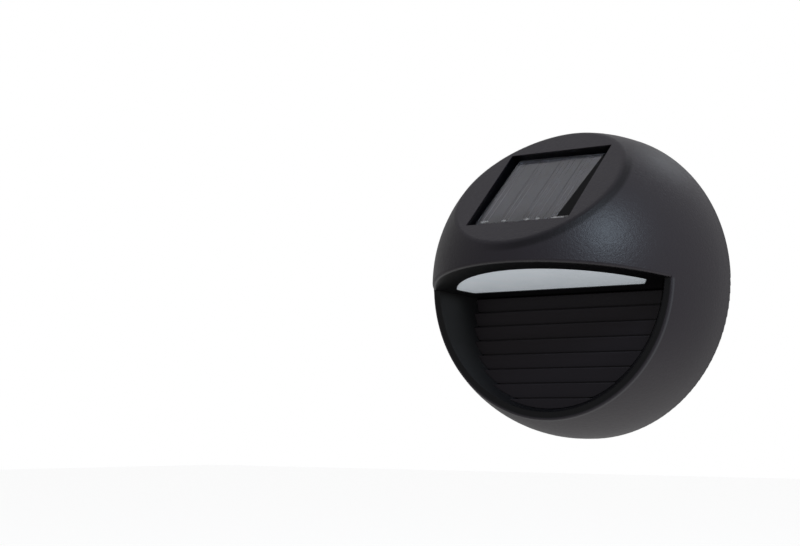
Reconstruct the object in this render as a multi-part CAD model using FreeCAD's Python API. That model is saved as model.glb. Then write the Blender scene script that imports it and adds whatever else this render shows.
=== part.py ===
import FreeCAD, Part
import math
import os
from FreeCAD import Placement, Rotation, Vector

# Round solar fence light, in millimetres.
# Frame: the origin is the middle of the flat back that lies on the fence, X to the
# right seen from the front, Y towards the fence, Z up. All of the light is at y <= 0.

# Case
dome_radius = 57.5
skirt_depth = 5.5
case_wall = 2.2
rear_edge_round = 1.4
sliding_gap = 0.15
touch_gap = 0.05
cut_overrun = 1.0
fuse_overlap = 0.5

# Flat on the upper front that carries the solar panel
facet_elevation = 46.1
facet_margin = 2.43
facet_edge_round = 2.6
window_side = 43.0
window_rise = 0.4
panel_face_depth = 2.3
pocket_rim = 2.0
pocket_floor = 2.0
panel_lead_hole = 3.0

# Solar panel
panel_side = 39.5
panel_corner = 1.2
panel_twist = -2.0
panel_lift = 0.9
panel_cover_thickness = 0.5
panel_cell_thickness = 0.3
panel_base_thickness = 1.8
cell_count = 4
cell_edge_margin = 1.0
cell_spacing = 0.35
last_cell_cut = (1.3, 4.4)
last_ribbon_shift = 2.0
ribbon_width = 0.9
ribbon_thickness = 0.12
ribbon_tab_width = 2.6
ribbon_tab_height = 1.4
seal_thickness = 0.6
seal_width = 3.0

# Light well in the lower front
land_distance = 27.31
land_width = 2.8
well_draft = 0.57
well_end = -4.0
well_wall = 2.0
arch_edge_round = 1.2
land_edge_round = 0.8
ceiling_height = -6.72
ceiling_rise = 10.54
ceiling_back = -8.5

# Stepped reflector panel at the back of the well
step_count = 8
well_depth = 13.41
step_foot_setback = 0.4
step_foot_drop = 0.6
step_nose_round = 0.45
step_groove_height = 0.5
step_groove_depth = 0.5
step_backing = 4.0
reflector_web = 1.0
reflector_flange = 2.0
reflector_ear = 8.3
reflector_screw_heights = (-12.0, -33.0)
reflector_screw_offset = 4.9
reflector_boss_radius = 2.8
reflector_boss_length = 5.0
reflector_pilot_depth = 3.6

# Diffuser in the ceiling of the well
diffuser_setback = 8.75
diffuser_tip = 27.13
diffuser_end_slant = 4.0
diffuser_back = -21.0
diffuser_corner = 1.5
diffuser_recess = 0.25
diffuser_flange = 1.8
diffuser_flange_thickness = 1.2
diffuser_skin = 1.6
diffuser_rim = 2.4

# Light box over the diffuser
box_height = 4.0
box_wall = 1.4
box_roof = 1.2
box_pin_radius = 0.9
box_pin_head = 0.5
box_pin_spots = ((-18.0, -40.0), (18.0, -40.0))
led_window = (6.0, 5.0)

# Circuit board, parallel to the ceiling of the well
board_half_width = 21.0
board_front = -43.0
board_back = -13.5
board_thickness = 1.6
board_corner = 1.5
board_screw_spots = ((-17.0, -16.6), (17.0, -16.6))
board_boss_radius = 2.6
board_pilot_depth = 4.6
led_spots = ((-11.0, -34.0), (11.0, -34.0))
led_size = (3.5, 2.8, 1.9)
led_cup_radius = 1.2
led_cup_taper = 0.75
led_cup_depth = 0.7
chip_spot = (9.0, -25.5)
chip_size = (4.9, 3.9, 1.5)
chip_standoff = 0.1
chip_chamfer = 0.25
chip_legs_per_side = 4
chip_leg_pitch = 1.27
chip_leg_reach = 1.0
chip_leg_knee = 0.5
chip_leg_height = 0.8
chip_leg_width = 0.4
chip_leg_thickness = 0.2
coil_spot = (-12.0, -26.0)
coil_radius = 3.4
coil_winding_inset = 0.4
coil_flange = 0.8
coil_height = 5.0
coil_core_radius = 1.6
can_spot = (15.0, -34.5)
can_radius = 2.5
can_height = 5.5
can_round = 0.4
resistor_spots = ((3.4, -22.0), (-4.2, -24.5))
resistor_size = (2.0, 1.25, 0.6)
pad_row = -16.2
battery_pad_reach = 11.5
solar_pad_reach = 1.7
solar_pad_row = -29.5

# Leads
lead_radius = 0.7
lead_bend = 3.0
pad_approach = 7.0
panel_lead_drop = 11.0

# Screws: head radius, head height, shank radius, length under the head
case_screw = (2.7, 1.8, 1.45, 9.0)
door_screw = (2.2, 1.4, 1.1, 7.0)
reflector_screw = (2.1, 1.5, 1.1, 5.0)
board_screw = (1.9, 1.3, 1.0, 5.5)
drive_width = 0.6
drive_depth = 0.9

# Screw forms, as shares of the radius or height that they belong to
point_share = 0.8
tip_share = 0.35
head_round_share = 0.45
drive_reach_share = 0.62

# Back plate
plate_thickness = 2.4
plate_chamfer = 0.5
rabbet_wall = 2.9
ledge_width = 1.4
plate_gap = 0.2
gasket_thickness = 1.0
gasket_gap = 0.1
case_screw_inset = 5.7
case_head_sink = 0.4
case_head_clearance = 0.3
case_pilot_depth = 9.0
case_screw_angles = (62.0, 118.0, 250.0, 290.0)
case_boss_radius = 3.3
case_boss_front = -25.2
case_rib_width = 2.4
screw_pad_radius = 5.0
screw_pad_thickness = 2.0
keyhole_reach = 26.0
keyhole_height = 20.0
keyhole_entry_radius = 4.3
keyhole_slot_radius = 2.2
keyhole_rise = 8.0
keyhole_cup_depth = 4.4
keyhole_cup_wall = 1.3

# Battery, lying across the back below the middle
battery_height = -25.0
battery_depth = 9.4
cell_radius = 5.25
cell_length = 43.3
cell_end_round = 0.5
sleeve_thickness = 0.15
sleeve_end_margin = 0.8
nub_radius = 1.9
nub_length = 1.0
contact_thickness = 0.4
contact_side = 9.0
contact_tab_width = 2.0
contact_tab_reach = 2.0
contact_tab_offset = 1.1
spring_length = 5.7
spring_wire = 0.3
spring_base_radius = 3.6
spring_tip_radius = 2.6
spring_turns = 2.5
bay_clearance = 0.5
bay_wall = 1.8
bay_floor = 1.6

# Battery door
door_half_length = 37.5
door_half_width = 9.5
door_corner = 3.0
door_thickness = 1.8
door_sink = 0.3
door_gap = 0.2
door_pad_gap = 0.5
door_pad_inset = 0.6
door_pad_side_inset = 1.5
door_gasket_thickness = 0.9
door_gasket_width = 1.6
door_gasket_inset = 1.4
door_gasket_corners = (2.5, 1.2)
door_ledge_thickness = 2.0
door_ledge_margin = 2.2
door_screw_inset = 3.7
door_head_clearance = 0.2
door_boss_radius = 3.0
door_boss_depth = 5.5
door_boss_floor = 0.8
grip_rib_count = 3
grip_rib_pitch = 2.6
grip_slot = (16.0, 1.6, 0.5)

# Slide switch behind the back plate
switch_height = 12.0
switch_half_length = 4.8
switch_half_width = 2.6
switch_depth = 4.0
switch_shell = 0.3
switch_base_thickness = 1.5
switch_travel = 2.0
knob_half_length = 1.0
knob_half_width = 0.95
knob_sink = 0.6
knob_chamfer = 0.25
knob_window_margins = (0.6, 0.5)
knob_slot_margins = (0.2, 0.15)
slider_half_length = 1.9
slider_gap = 0.1
slider_side_gap = 0.2
pin_pitch = 2.5
pin_length = 3.2
pin_size = (0.8, 0.5)
switch_guard = 1.2
switch_guard_depth = 3.0
thumb_recess = (6.0, 3.6, 1.0)
thumb_recess_corner = 2.0

# Values that follow from the ones above
x_axis = Vector(1, 0, 0)
y_axis = Vector(0, 1, 0)
z_axis = Vector(0, 0, 1)
far = 200.0
dome_centre = Vector(0, -skirt_depth, 0)
inner_radius = dome_radius - case_wall
facet_radius = window_side / math.sqrt(2) + facet_margin
facet_distance = math.sqrt(dome_radius ** 2 - facet_radius ** 2)
land_y = -skirt_depth - land_distance
land_outer_radius = math.sqrt(dome_radius ** 2 - land_distance ** 2)
land_inner_radius = land_outer_radius - land_width
step_top_depth = well_depth - land_distance
ceiling_slope = math.tan(math.radians(ceiling_rise))
step_top_height = ceiling_height - ceiling_slope * step_top_depth - sliding_gap
step_height = (land_inner_radius + step_foot_drop + step_top_height) / step_count
step_depth = (well_depth - step_foot_setback) / step_count
diffuser_front_radius = dome_radius - diffuser_setback
diffuser_half_width = math.sqrt(diffuser_front_radius ** 2 - diffuser_tip ** 2)
diffuser_back_half_width = diffuser_half_width - diffuser_end_slant
rabbet_radius = dome_radius - rabbet_wall
ledge_radius = rabbet_radius - ledge_width
case_screw_circle = ledge_radius - case_screw_inset
case_screw_seat = -case_screw[1] - case_head_sink
door_screw_reach = door_half_length - door_screw_inset
ledge_y = -plate_thickness - gasket_thickness
pad_y = -plate_thickness - screw_pad_thickness
panel_thickness = panel_cover_thickness + panel_cell_thickness + panel_base_thickness
floor_w = -panel_face_depth - panel_thickness - seal_thickness
flange_w = case_wall + diffuser_flange_thickness
roof_w = flange_w + box_height
board_top = roof_w + board_thickness
battery_y = -battery_depth
bay_half_length = contact_thickness + (spring_length + cell_length + nub_length) / 2
bay_half_height = cell_radius + bay_clearance
bay_bottom_y = battery_y - cell_radius - bay_clearance
door_front_y = -door_sink
door_back_y = door_front_y - door_thickness
door_ledge_y = door_back_y - door_gasket_thickness
contact_tab_y = battery_y - contact_tab_offset
door_gasket_half_length = bay_half_length + door_gasket_inset + door_gasket_width


def box(x_range, y_range, z_range):
    size = [high - low for low, high in (x_range, y_range, z_range)]
    return Part.makeBox(size[0], size[1], size[2], Vector(x_range[0], y_range[0], z_range[0]))


def rod(radius, start, direction, length):
    return Part.makeCylinder(radius, length, start, direction)


def placed(shape, frame):
    moved = shape.copy()
    moved.Placement = frame.multiply(moved.Placement)
    return moved


def export(node, solids):
    shape = solids[0] if len(solids) == 1 else Part.makeCompound(solids)
    shape.exportStep("parts/%s.step" % node)


def single(shape):
    return shape.Solids[0]


def arc_middle(start, corner, end):
    # Middle point of the arc that touches start-corner and corner-end at start and end.
    chord_middle = (start + end) * 0.5
    half_chord = (end - start).Length / 2
    to_corner = corner - chord_middle
    half_turn = math.acos(min(1.0, half_chord / (corner - start).Length))
    return chord_middle + to_corner.normalize() * (half_chord * math.tan(half_turn / 2))


def line(start, end):
    return Part.LineSegment(start, end).toShape()


def arc(start, corner, end):
    return Part.Arc(start, arc_middle(start, corner, end), end).toShape()


def rounded_path(points, bend):
    edges = []
    start = points[0]
    for before, corner, after in zip(points, points[1:], points[2:]):
        incoming = (corner - before).normalize()
        outgoing = (after - corner).normalize()
        reach = bend * math.tan(incoming.getAngle(outgoing) / 2)
        arc_start = corner - incoming * reach
        arc_end = corner + outgoing * reach
        edges.append(line(start, arc_start))
        edges.append(arc(arc_start, corner, arc_end))
        start = arc_end
    edges.append(line(start, points[-1]))
    return Part.Wire(edges)


def tube(path, radius, start, direction):
    section = Part.Wire([Part.Circle(start, direction, radius).toShape()])
    return single(path.makePipeShell([section], True, False))


def lead(points):
    path = rounded_path(points, lead_bend)
    return tube(path, lead_radius, points[0], points[1] - points[0])


def rounded_plate(half_length, half_width, corner, thickness):
    # Plate in the XY plane, centred, from z = 0 up, with rounded corners.
    plate = box((-half_length, half_length), (-half_width, half_width), (0, thickness))
    edges = [edge for edge in plate.Edges if abs(edge.Length - thickness) < 1e-6
             and abs(edge.tangentAt(edge.FirstParameter).z) > 0.99]
    return plate.makeFillet(corner, edges)


def screw(size):
    # Pan-head screw with a cross recess; the head's underside is at z = 0, the point down.
    head_radius, head_height, shank_radius, length = size
    point = shank_radius * point_share
    shank = rod(shank_radius, Vector(0, 0, -length + point), z_axis, length - point)
    tip = Part.makeCone(shank_radius * tip_share, shank_radius, point, Vector(0, 0, -length),
                        z_axis)
    head = rod(head_radius, Vector(0, 0, 0), z_axis, head_height)
    rim = [edge for edge in head.Edges if abs(edge.BoundBox.ZMin - head_height) < 1e-6
           and edge.BoundBox.XLength > head_radius]
    head = head.makeFillet(head_height * head_round_share, rim)
    body = head.fuse([shank, tip])
    arm = head_radius * drive_reach_share
    half = drive_width / 2
    depth_range = (head_height - drive_depth, head_height + cut_overrun)
    slot = box((-arm, arm), (-half, half), depth_range)
    cross = box((-half, half), (-arm, arm), depth_range)
    return single(body.cut([slot, cross]).removeSplitter())


def solar_frame():
    tilt = math.radians(facet_elevation)
    normal = Vector(0, -math.cos(tilt), math.sin(tilt))
    return Placement(dome_centre + normal * facet_distance, Rotation(x_axis, 90 - facet_elevation))


def ceiling_frame():
    return Placement(dome_centre + Vector(0, 0, ceiling_height), Rotation(x_axis, -ceiling_rise))


def reflector_frame():
    # z = 0 is the seat of the reflector panel, +Z looks out of the well, +Y runs up the steps.
    slope = math.degrees(math.atan2(step_height, step_depth))
    turn = Rotation(x_axis, slope)
    inner_corner = dome_centre + Vector(0, step_top_depth, step_top_height)
    top_corner = inner_corner - Vector(0, 0, step_height)
    seat = top_corner - turn.multVec(z_axis) * reflector_web
    return Placement(seat + turn.multVec(y_axis) * step_height, turn)


def rear_frame(x, y, z):
    # Frame on the back of the case: +Z looks at the fence.
    return Placement(Vector(x, y, z), Rotation(x_axis, -90))


def on_board(x, y, height):
    return ceiling_frame().multVec(Vector(x, y, board_top + height))


def below_ceiling(offset):
    slab = box((-far, far), (-far, far), (-far, offset))
    return placed(slab, ceiling_frame())


def well_radius(y):
    return land_inner_radius - well_draft * (y - land_y)


def well_cone(grow, front_y):
    # The cone of the well's wall, grown outwards, from front_y to behind the reflector.
    front = well_radius(front_y) + grow
    back = well_radius(well_end) + grow
    return Part.makeCone(front, back, well_end - front_y, Vector(0, front_y, 0), y_axis)


def reflector_screw_spots():
    # Each height down the seat, with x just outside the well's wall on both sides.
    for height in reflector_screw_heights:
        point = reflector_frame().multVec(Vector(0, height, 0))
        reach = well_radius(point.y) + reflector_screw_offset
        x = math.sqrt(reach ** 2 - point.z ** 2)
        yield -x, height
        yield x, height


def in_front_of_seat():
    return placed(box((-far, far), (-far, far), (0, far)), reflector_frame())


def case_screw_centres():
    for angle in case_screw_angles:
        turn = math.radians(angle)
        yield case_screw_circle * math.cos(turn), case_screw_circle * math.sin(turn)


def dome_solid():
    # Hemisphere with a short straight skirt and a rounded rear edge, turned about Y.
    nose = Vector(0, -skirt_depth - dome_radius, 0)
    shoulder = Vector(dome_radius, -skirt_depth, 0)
    half = dome_radius * math.sqrt(0.5)
    skirt_end = Vector(dome_radius, -rear_edge_round, 0)
    rear = Vector(dome_radius - rear_edge_round, 0, 0)
    edges = [
        Part.Arc(nose, Vector(half, -skirt_depth - half, 0), shoulder).toShape(),
        line(shoulder, skirt_end),
        arc(skirt_end, Vector(dome_radius, 0, 0), rear),
        line(rear, Vector(0, 0, 0)),
        line(Vector(0, 0, 0), nose),
    ]
    dome = Part.Face(Part.Wire(edges)).revolve(Vector(0, 0, 0), y_axis, 360)
    dome.rotate(Vector(0, 0, 0), y_axis, 90)
    return dome


def circle_edges(shape, radius):
    found = []
    for edge in shape.Edges:
        try:
            curve = edge.Curve
        except TypeError:
            continue
        if isinstance(curve, Part.Circle) and abs(curve.Radius - radius) < 0.01:
            found.append(edge)
    return found


def outer_form():
    facet_cut = placed(box((-far, far), (-far, far), (0, far)), solar_frame())
    form = dome_solid().cut(facet_cut)
    form = form.makeFillet(facet_edge_round, circle_edges(form, facet_radius))
    well_front = below_ceiling(0).common(box((-far, far), (-far, land_y), (-far, far)))
    form = form.cut(well_front)
    ceiling_drop = ceiling_height * math.cos(math.radians(ceiling_rise))
    arch_radius = math.sqrt(dome_radius ** 2 - ceiling_drop ** 2)
    arch_rounded = form.makeFillet(arch_edge_round, circle_edges(form, arch_radius))
    land_rounded = form.makeFillet(land_edge_round, circle_edges(form, land_outer_radius))
    return arch_rounded.common(land_rounded)


def inner_form():
    ball = Part.makeSphere(inner_radius, dome_centre)
    bore = rod(ledge_radius, Vector(0, -far, 0), y_axis, far + ledge_y)
    tail = rod(ledge_radius, Vector(0, -skirt_depth, 0), y_axis, skirt_depth + ledge_y)
    return ball.common(bore).fuse(tail)


def pocket_block():
    half = window_side / 2 + pocket_rim
    block = box((-half, half), (window_rise - half, window_rise + half),
                (floor_w - pocket_floor, far))
    skin = box((-far, far), (-far, far), (-case_wall, far))
    return placed(block.fuse(skin), solar_frame())


def well_block():
    cap = below_ceiling(case_wall).common(
        box((-far, far), (-far, land_y + case_wall), (-far, far)))
    sleeve = well_cone(well_wall, land_y)
    sleeve = sleeve.common(below_ceiling(case_wall)).common(in_front_of_seat())
    roof = placed(box((-far, far), (-far, far), (0, case_wall)), ceiling_frame())
    roof = roof.common(box((-far, far), (land_y, ceiling_back - skirt_depth), (-far, far)))
    roof = roof.common(well_cone(well_wall, land_y))
    return [cap, sleeve, roof]


def reflector_bosses():
    bosses = []
    for x, y in reflector_screw_spots():
        boss = rod(reflector_boss_radius, Vector(x, y, 0), z_axis, reflector_boss_length)
        bosses.append(placed(boss, reflector_frame()))
    return bosses


def case_bosses():
    bosses = []
    for x, z in case_screw_centres():
        front = case_boss_front
        bosses.append(rod(case_boss_radius, Vector(x, front, z), y_axis, pad_y - front))
        rib = box((0, dome_radius - case_screw_circle), (front, pad_y),
                  (-case_rib_width / 2, case_rib_width / 2))
        angle = math.degrees(math.atan2(z, x))
        bosses.append(placed(rib, Placement(Vector(x, 0, z), Rotation(y_axis, -angle))))
    return bosses


def board_bosses():
    height = roof_w - case_wall
    return [placed(rod(board_boss_radius, Vector(x, y, case_wall), z_axis, height),
                   ceiling_frame()) for x, y in board_screw_spots]


def diffuser_outline(grow, low, high, corner):
    # Front edge an arc about the axis of the dome, straight back edge, slanted ends.
    radius = diffuser_front_radius + grow
    tip_x = diffuser_half_width + grow
    tip = Vector(tip_x, -math.sqrt(radius ** 2 - tip_x ** 2), low)
    back = Vector(diffuser_back_half_width + grow, diffuser_back + grow, low)
    mirror_tip = Vector(-tip.x, tip.y, low)
    mirror_back = Vector(-back.x, back.y, low)
    edges = [
        Part.Arc(mirror_tip, Vector(0, -radius, low), tip).toShape(),
        line(tip, back),
        line(back, mirror_back),
        line(mirror_back, mirror_tip),
    ]
    plate = Part.Face(Part.Wire(edges)).extrude(Vector(0, 0, high - low))
    if corner:
        uprights = [edge for edge in plate.Edges if edge.BoundBox.XLength < 1e-6
                    and edge.BoundBox.YLength < 1e-6]
        plate = plate.makeFillet(corner, uprights)
    return plate


def front_housing():
    cavity = inner_form().cut([pocket_block()] + well_block())
    cavity = cavity.cut(reflector_bosses() + case_bosses() + board_bosses())
    shell = outer_form().cut(cavity)
    rabbet = rod(rabbet_radius, Vector(0, ledge_y, 0), y_axis, far)
    well = well_cone(0, land_y - cut_overrun).common(below_ceiling(0)).common(in_front_of_seat())
    half = window_side / 2
    window = placed(box((-half, half), (window_rise - half, window_rise + half),
                        (floor_w, far)), solar_frame())
    lead_hole = placed(rod(panel_lead_hole, Vector(0, window_rise, floor_w - far), z_axis, far),
                       solar_frame())
    lead_hole = lead_hole.common(pocket_block())
    opening = placed(diffuser_outline(0, -cut_overrun, case_wall + touch_gap, diffuser_corner),
                     ceiling_frame())
    openings = [rabbet, well, window, lead_hole, opening]
    pilot = reflector_screw[2] + touch_gap
    for x, y in reflector_screw_spots():
        hole = rod(pilot, Vector(x, y, 0), z_axis, reflector_pilot_depth)
        openings.append(placed(hole, reflector_frame()))
    for x, z in case_screw_centres():
        start = Vector(x, pad_y - case_pilot_depth, z)
        openings.append(rod(case_screw[2] + touch_gap, start, y_axis, case_pilot_depth))
    for x, y in board_screw_spots:
        start = Vector(x, y, roof_w - board_pilot_depth)
        hole = rod(board_screw[2] + touch_gap, start, z_axis, board_pilot_depth)
        openings.append(placed(hole, ceiling_frame()))
    return single(shell.cut(openings))


def stepped_profile():
    # Side view of the steps: risers with a shadow groove at the foot, and treads between them.
    points = [Vector(0, step_top_depth, step_top_height)]
    for _ in range(step_count):
        foot = points[-1] - Vector(0, 0, step_height)
        groove_top = foot + Vector(0, 0, step_groove_height)
        into = Vector(0, step_groove_depth, 0)
        points += [groove_top, groove_top + into, foot + into, foot - Vector(0, step_depth, 0)]
    foot = points[-2]
    rear = Vector(0, step_backing, 0)
    points[-1] = foot + rear
    points += [points[0] + rear, points[0]]
    return [point + dome_centre for point in points]


def stepped_block():
    block = Part.Face(Part.makePolygon(stepped_profile())).extrude(Vector(2 * far, 0, 0))
    block.translate(Vector(-far, 0, 0))
    noses = []
    for index in range(step_count):
        nose = dome_centre + Vector(0, step_top_depth - index * step_depth,
                                    step_top_height - index * step_height)
        noses += [edge for edge in block.Edges if edge.BoundBox.XLength > far
                  and edge.BoundBox.Center.sub(nose).Length < touch_gap]
    return block.makeFillet(step_nose_round, noses)


def reflector_panel():
    seat = placed(box((-far, far), (-far, far), (-fuse_overlap, far)), reflector_frame())
    steps = stepped_block().common(seat).common(well_cone(-sliding_gap, land_y))
    flange = placed(box((-far, far), (-far, far), (-reflector_flange, 0)), reflector_frame())
    flange = flange.common(well_cone(reflector_ear, land_y))
    flange = flange.common(Part.makeSphere(inner_radius - sliding_gap, dome_centre))
    panel = steps.fuse(flange).common(below_ceiling(-sliding_gap))
    holes = []
    for x, y in reflector_screw_spots():
        hole = rod(reflector_screw[2] + touch_gap, Vector(x, y, -far), z_axis, 2 * far)
        holes.append(placed(hole, reflector_frame()))
    return single(panel.cut(holes))


def reflector_screws():
    flip = Rotation(x_axis, 180)
    solids = []
    for x, y in reflector_screw_spots():
        spot = Placement(Vector(x, y, -reflector_flange), flip)
        solids.append(placed(placed(screw(reflector_screw), spot), reflector_frame()))
    return solids


def diffuser_lens():
    plug = diffuser_outline(-sliding_gap, diffuser_recess, case_wall, diffuser_corner)
    flange = diffuser_outline(diffuser_flange, case_wall, flange_w, diffuser_corner)
    hollow = diffuser_outline(-diffuser_rim, diffuser_recess + diffuser_skin,
                              flange_w + cut_overrun, diffuser_corner)
    return single(placed(plug.fuse(flange).cut(hollow), ceiling_frame()))


def light_box():
    outer = diffuser_outline(box_wall, flange_w, roof_w, diffuser_corner)
    inner = diffuser_outline(0, flange_w - cut_overrun, roof_w - box_roof, diffuser_corner)
    half_x = led_window[0] / 2
    half_y = led_window[1] / 2
    cuts = [inner]
    for x, y in led_spots:
        cuts.append(box((x - half_x, x + half_x), (y - half_y, y + half_y), (0, far)))
    pins = []
    for x, y in box_pin_spots:
        pins.append(rod(box_pin_radius, Vector(x, y, roof_w - fuse_overlap), z_axis,
                        board_thickness + box_pin_head + fuse_overlap))
    return single(placed(outer.cut(cuts).fuse(pins), ceiling_frame()))


def circuit_board():
    half_length = (board_back - board_front) / 2
    board = rounded_plate(board_half_width, half_length, board_corner, board_thickness)
    board.translate(Vector(0, (board_back + board_front) / 2, roof_w))
    holes = []
    for x, y in board_screw_spots:
        holes.append(rod(board_screw[2] + touch_gap, Vector(x, y, 0), z_axis, far))
    for x, y in box_pin_spots:
        holes.append(rod(box_pin_radius + touch_gap, Vector(x, y, 0), z_axis, far))
    return single(placed(board.cut(holes), ceiling_frame()))


def board_screws():
    return [placed(placed(screw(board_screw), Placement(Vector(x, y, board_top), Rotation())),
                   ceiling_frame()) for x, y in board_screw_spots]


def led_cup():
    return Part.makeCone(led_cup_radius, led_cup_radius * led_cup_taper, led_cup_depth,
                         Vector(0, 0, -led_size[2]), z_axis)


def led_bodies():
    half_x = led_size[0] / 2
    half_y = led_size[1] / 2
    body = box((-half_x, half_x), (-half_y, half_y), (-led_size[2], 0)).cut(led_cup())
    return [placed(placed(single(body), Placement(Vector(x, y, roof_w), Rotation())),
                   ceiling_frame()) for x, y in led_spots]


def led_fills():
    return [placed(placed(led_cup(), Placement(Vector(x, y, roof_w), Rotation())),
                   ceiling_frame()) for x, y in led_spots]


def driver_chip():
    half_x = chip_size[0] / 2
    half_y = chip_size[1] / 2
    body = box((-half_x, half_x), (-half_y, half_y),
               (chip_standoff, chip_standoff + chip_size[2]))
    top_edges = [edge for edge in body.Edges if edge.BoundBox.ZMin > chip_size[2]]
    body = body.makeChamfer(chip_chamfer, top_edges)
    spot = Placement(Vector(chip_spot[0], chip_spot[1], board_top), Rotation())
    return single(placed(placed(body, spot), ceiling_frame()))


def chip_legs():
    legs = []
    half_y = chip_size[1] / 2
    knee = half_y + chip_leg_knee
    for index in range(chip_legs_per_side):
        x = (index - (chip_legs_per_side - 1) / 2) * chip_leg_pitch
        x_range = (x - chip_leg_width / 2, x + chip_leg_width / 2)
        for side in (-1, 1):
            shoulder = box(x_range, (half_y, knee),
                           (chip_leg_height - chip_leg_thickness, chip_leg_height))
            drop = box(x_range, (knee - chip_leg_thickness, knee), (0, chip_leg_height))
            foot = box(x_range, (knee - chip_leg_thickness, half_y + chip_leg_reach),
                       (0, chip_leg_thickness))
            leg = shoulder.fuse([drop, foot]).removeSplitter()
            turned = placed(leg, Placement(Vector(0, 0, 0), Rotation(z_axis, 90 - 90 * side)))
            spot = Placement(Vector(chip_spot[0], chip_spot[1], board_top), Rotation())
            legs.append(single(placed(placed(turned, spot), ceiling_frame())))
    return legs


def coil_core():
    foot = Vector(coil_spot[0], coil_spot[1], board_top)
    top = foot + Vector(0, 0, coil_height - coil_flange)
    core = rod(coil_core_radius, foot, z_axis, coil_height)
    core = core.fuse([rod(coil_radius, foot, z_axis, coil_flange),
                      rod(coil_radius, top, z_axis, coil_flange)])
    return single(placed(core.removeSplitter(), ceiling_frame()))


def coil_winding():
    foot = Vector(coil_spot[0], coil_spot[1], board_top + coil_flange)
    height = coil_height - 2 * coil_flange
    ring = rod(coil_radius - coil_winding_inset, foot, z_axis, height).cut(
        rod(coil_core_radius, foot, z_axis, height))
    return single(placed(ring, ceiling_frame()))


def can_capacitor():
    foot = Vector(can_spot[0], can_spot[1], board_top)
    can = rod(can_radius, foot, z_axis, can_height)
    can = can.makeFillet(can_round, circle_edges(can, can_radius))
    return single(placed(can, ceiling_frame()))


def resistors():
    half_x = resistor_size[0] / 2
    half_y = resistor_size[1] / 2
    return [placed(box((x - half_x, x + half_x), (y - half_y, y + half_y),
                       (board_top, board_top + resistor_size[2])), ceiling_frame())
            for x, y in resistor_spots]


def panel_frame():
    middle = Vector(0, window_rise + panel_lift, -panel_face_depth)
    spot = Placement(middle, Rotation(z_axis, panel_twist))
    return solar_frame().multiply(spot)


def panel_layer(side, low, high):
    plate = rounded_plate(side / 2, side / 2, panel_corner, high - low)
    plate.translate(Vector(0, 0, low))
    return plate


def panel_base():
    low = -panel_thickness
    base = panel_layer(panel_side, low, low + panel_base_thickness)
    return single(placed(base, panel_frame()))


def cell_strips():
    low = -panel_cover_thickness - panel_cell_thickness
    usable = panel_side - 2 * cell_edge_margin
    width = (usable - (cell_count - 1) * cell_spacing) / cell_count
    strips = []
    for index in range(cell_count):
        left = -usable / 2 + index * (width + cell_spacing)
        strips.append(box((left, left + width), (-usable / 2, usable / 2),
                          (low, low + panel_cell_thickness)))
    # The last cell is broken off askew: its outer edge leans in towards the lower end.
    half = usable / 2
    beyond = half + cut_overrun
    corners = [Vector(half - last_cell_cut[0], beyond, low), Vector(beyond, beyond, low),
               Vector(beyond, -beyond, low), Vector(half - last_cell_cut[1], -beyond, low)]
    waste = Part.Face(Part.makePolygon(corners + corners[:1]))
    strips[-1] = single(strips[-1].cut(waste.extrude(Vector(0, 0, panel_cell_thickness))))
    return strips


def ribbons():
    low = -panel_cover_thickness
    strips = cell_strips()
    solids = []
    for strip in strips:
        bounds = strip.BoundBox
        middle = (bounds.XMin + bounds.XMax) / 2
        if strip is strips[-1]:
            middle -= last_ribbon_shift
        bar = box((middle - ribbon_width / 2, middle + ribbon_width / 2),
                  (bounds.YMin, bounds.YMax), (low, low + ribbon_thickness))
        tab = box((middle - ribbon_tab_width / 2, middle + ribbon_tab_width / 2),
                  (bounds.YMin, bounds.YMin + ribbon_tab_height), (low, low + ribbon_thickness))
        solids.append(single(bar.fuse(tab).removeSplitter()))
    return solids


def solar_cells():
    return [placed(strip, panel_frame()) for strip in cell_strips()]


def cell_ribbons():
    return [placed(ribbon, panel_frame()) for ribbon in ribbons()]


def panel_cover():
    low = -panel_cover_thickness - panel_cell_thickness
    cover = panel_layer(panel_side, low, 0).cut(cell_strips() + ribbons())
    return single(placed(cover, panel_frame()))


def panel_seal():
    low = -panel_thickness - seal_thickness
    ring = panel_layer(panel_side, low, -panel_thickness)
    hole = panel_layer(panel_side - 2 * seal_width, low, -panel_thickness)
    return single(placed(ring.cut(hole), panel_frame()))


def solar_lead(side):
    out = Vector(side * solar_pad_reach, 0, -panel_thickness)
    start = panel_frame().multVec(out)
    below = panel_frame().multVec(out - Vector(0, 0, panel_lead_drop))
    pad = on_board(side * solar_pad_reach, solar_pad_row, 0)
    above = on_board(side * solar_pad_reach, solar_pad_row, pad_approach)
    return lead([start, below, above, pad])


def battery_can():
    radius = cell_radius - sleeve_thickness
    left = -bay_half_length + contact_thickness + spring_length
    can = rod(radius, Vector(left, battery_y, battery_height), x_axis, cell_length)
    can = can.makeFillet(cell_end_round, circle_edges(can, radius))
    nub_start = Vector(left + cell_length - fuse_overlap, battery_y, battery_height)
    nub = rod(nub_radius, nub_start, x_axis, nub_length + fuse_overlap)
    return single(can.fuse(nub))


def battery_sleeve():
    left = -bay_half_length + contact_thickness + spring_length + sleeve_end_margin
    length = cell_length - 2 * sleeve_end_margin
    start = Vector(left, battery_y, battery_height)
    return single(rod(cell_radius, start, x_axis, length).cut(
        rod(cell_radius - sleeve_thickness, start, x_axis, length)))


def contact(side):
    outer = side * bay_half_length
    inner = outer - side * contact_thickness
    half = contact_side / 2
    plate = box((min(outer, inner), max(outer, inner)), (battery_y - half, battery_y + half),
                (battery_height - half, battery_height + half))
    reach = outer + side * (bay_wall + contact_tab_reach)
    tab = box((min(inner, reach), max(inner, reach)),
              (contact_tab_y - contact_tab_width / 2, contact_tab_y + contact_tab_width / 2),
              (battery_height - contact_thickness / 2, battery_height + contact_thickness / 2))
    return single(plate.fuse(tab).removeSplitter())


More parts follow.
